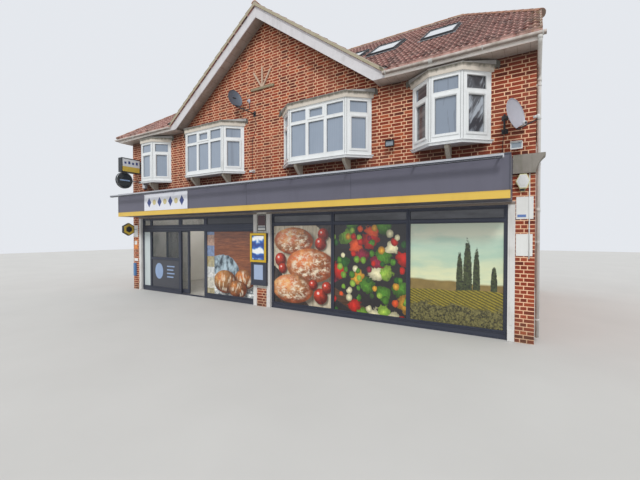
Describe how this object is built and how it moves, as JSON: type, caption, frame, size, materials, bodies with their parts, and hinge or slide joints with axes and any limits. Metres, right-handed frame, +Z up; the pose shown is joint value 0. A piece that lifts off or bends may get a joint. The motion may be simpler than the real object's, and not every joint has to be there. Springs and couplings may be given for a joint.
{
  "type": "corner shop building",
  "caption": "Two-storey brick corner shop with a sliding entrance door, bay windows over a sign fascia, and a hipped tiled roof with a street gable.",
  "frame": {"origin": "on the ground, midway between the side walls and between the front and rear walls", "axes": "+X to the right along the street front as seen from the street, +Y back into the building, +Z up"},
  "size_m": [13.0741, 8.9307, 8.5247],
  "materials": {
    "concrete": "matte",
    "timber_floor": "matte",
    "brick": "matte",
    "painted_brick": "matte",
    "weathered_concrete": "matte",
    "roof_tile": "matte",
    "ridge_tile": "matte",
    "dark_aluminium": "satin",
    "clear_glass": "gloss",
    "printed_glass": "gloss",
    "white_board": "satin",
    "soffit_board": "satin",
    "gutter_plastic": "satin",
    "white_upvc": "gloss",
    "lead": "matte",
    "cream_timber": "satin",
    "white_timber": "satin",
    "grey_sheet": "satin",
    "yellow_sheet": "satin",
    "white_panel": "satin",
    "trough_aluminium": "satin",
    "door_paint": "satin",
    "dish_steel": "satin",
    "cream_plastic": "satin",
    "dark_plastic": "satin",
    "case_yellow": "satin",
    "brown_timber": "matte"
  },
  "bodies": {
    "building": {"ground_floor": "concrete", "first_floor": "timber_floor", "loft_floor": "timber_floor", "left_wall": "brick", "right_wall": "brick", "rear_wall": "brick", "front_wall": "brick", "gable_wall": "brick", "shop_piers": "painted_brick", "corbel": "weathered_concrete", "front_roof": "roof_tile", "rear_roof": "roof_tile", "gable_roof": "roof_tile", "left_hip": "roof_tile", "right_half_hip": "roof_tile", "ridge_tiles": "ridge_tile", "hip_tiles": "ridge_tile", "roof_windows": "dark_aluminium", "roof_window_glass": "clear_glass", "eaves_boards": "white_board", "bargeboards": "white_board", "eaves_soffits": "soffit_board", "gable_soffit": "soffit_board", "gutters": "gutter_plastic", "downpipes": "gutter_plastic", "left_small_bay": "white_upvc", "left_large_bay": "white_upvc", "right_large_bay": "white_upvc", "right_small_bay": "white_upvc", "bay_glass": "clear_glass", "bay_roofs": "lead", "bay_sills": "white_upvc", "bay_brackets": "cream_timber", "left_shopfront": "dark_aluminium", "left_shop_glass": "clear_glass", "right_shopfront": "dark_aluminium", "right_shop_glass": "printed_glass", "shop_surrounds": "white_timber", "fascia": "grey_sheet", "fascia_band": "yellow_sheet", "sign_panel": "white_panel", "light_trough": "trough_aluminium", "door_track": "dark_aluminium", "rear_windows": "white_upvc", "rear_glass": "clear_glass", "rear_doors": "door_paint", "satellite_dishes": "dish_steel", "alarm_box": "cream_plastic", "floodlights": "dark_plastic", "notice_cases": "case_yellow", "sunburst": "brown_timber", "corner_signs": "dark_plastic"},
    "shop_door": {"sliding_door": "dark_aluminium", "door_glass": "clear_glass"}
  },
  "joints": [
    {"name": "shop_door_slide", "type": "slide", "parent": "building", "child": "shop_door", "axis": [1, 0, 0], "range_m": [-0.29, 0.84]}
  ]
}
